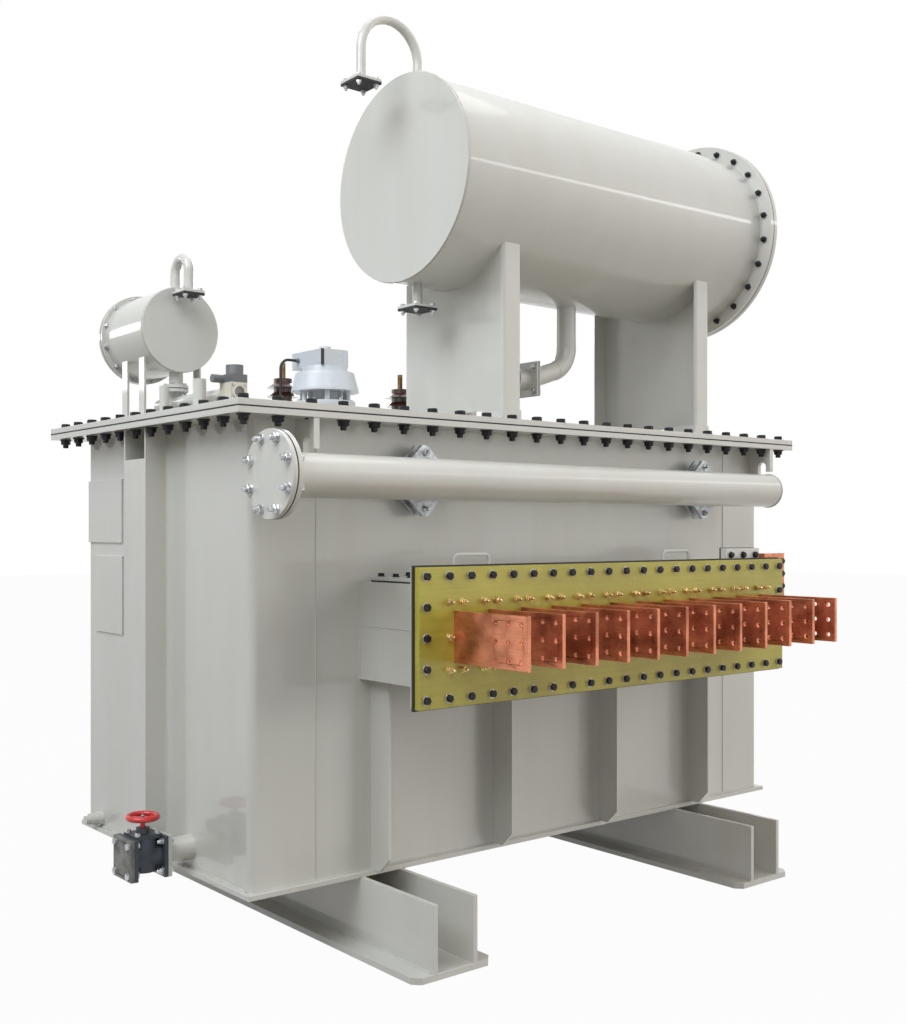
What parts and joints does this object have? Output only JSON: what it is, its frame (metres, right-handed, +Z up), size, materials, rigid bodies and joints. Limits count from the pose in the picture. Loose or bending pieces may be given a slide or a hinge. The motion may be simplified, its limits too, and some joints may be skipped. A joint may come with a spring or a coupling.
{
  "type": "rectifier transformer",
  "caption": "Oil-filled rectifier transformer: steel tank on skids with copper terminal bars, oil header pipe, cylindrical conservators and a drain valve with a turning handwheel.",
  "frame": {"origin": "on the floor, midway between the four holding-down holes in the skids, under the middle of the tank", "axes": "+X along the tank's long side, +Y away from the terminal bars, +Z up"},
  "size_m": [2.735, 2.132, 3.0225],
  "materials": {
    "paint": "warm light grey paint",
    "rubber": "black rubber",
    "copper": "bare reddish copper",
    "brass": "bare brass",
    "board": "yellow-green glass laminate",
    "galvanised": "galvanised",
    "casting": "beige cast metal",
    "dark_casting": "dark grey paint",
    "valve_slate": "dark slate paint",
    "relief_grey": "pale blue-grey paint",
    "porcelain": "brown glazed porcelain",
    "red": "red gloss paint"
  },
  "bodies": {
    "transformer": {"left_skid": "paint", "right_skid": "paint", "tank_base": "paint", "left_end_wall": "paint", "right_end_wall": "paint", "front_wall": "paint", "back_wall": "paint", "tank_rim": "paint", "tank_seals": "rubber", "tank_cover": "paint", "wall_ribs": "paint", "end_stiffeners": "paint", "lifting_lugs": "paint", "instrument_plates": "paint", "terminal_box": "paint", "terminal_box_lid": "paint", "lid_handles": "paint", "insulating_board": "board", "terminal_bars": "copper", "copper_angle": "copper", "end_cover": "paint", "header_pipe": "paint", "header_blank": "paint", "header_valves": "galvanised", "conservator_shell": "paint", "conservator_head": "paint", "conservator_cover": "paint", "left_support": "paint", "right_support": "paint", "support_pads": "paint", "conservator_eyes": "paint", "breather_bend": "paint", "conservator_drain": "paint", "pipe_blanks": "rubber", "tail_pipe": "paint", "tail_relay": "dark_casting", "small_conservator_shell": "paint", "small_conservator_head": "paint", "small_conservator_cover": "paint", "small_conservator_legs": "paint", "small_breather": "paint", "small_oil_pipe": "paint", "gas_relay": "casting", "gas_relay_cap": "dark_casting", "relief_base": "relief_grey", "relief_hood": "relief_grey", "relief_switch_box": "relief_grey", "relief_conduit": "rubber", "cover_posts": "paint", "bushings": "porcelain", "bushing_studs": "brass", "drain_stub": "paint", "drain_valve": "valve_slate", "drain_blank": "galvanised", "drain_blank_bolts": "galvanised", "sampling_plug": "paint"},
    "drain_handwheel": {"handwheel": "red"}
  },
  "joints": [
    {"name": "drain_handwheel_turn", "type": "hinge", "parent": "transformer", "child": "drain_handwheel", "pos_m": [-1.36, -0.2, 0.4073], "axis": [0, 0, 1], "range_deg": [0, 1350]}
  ]
}
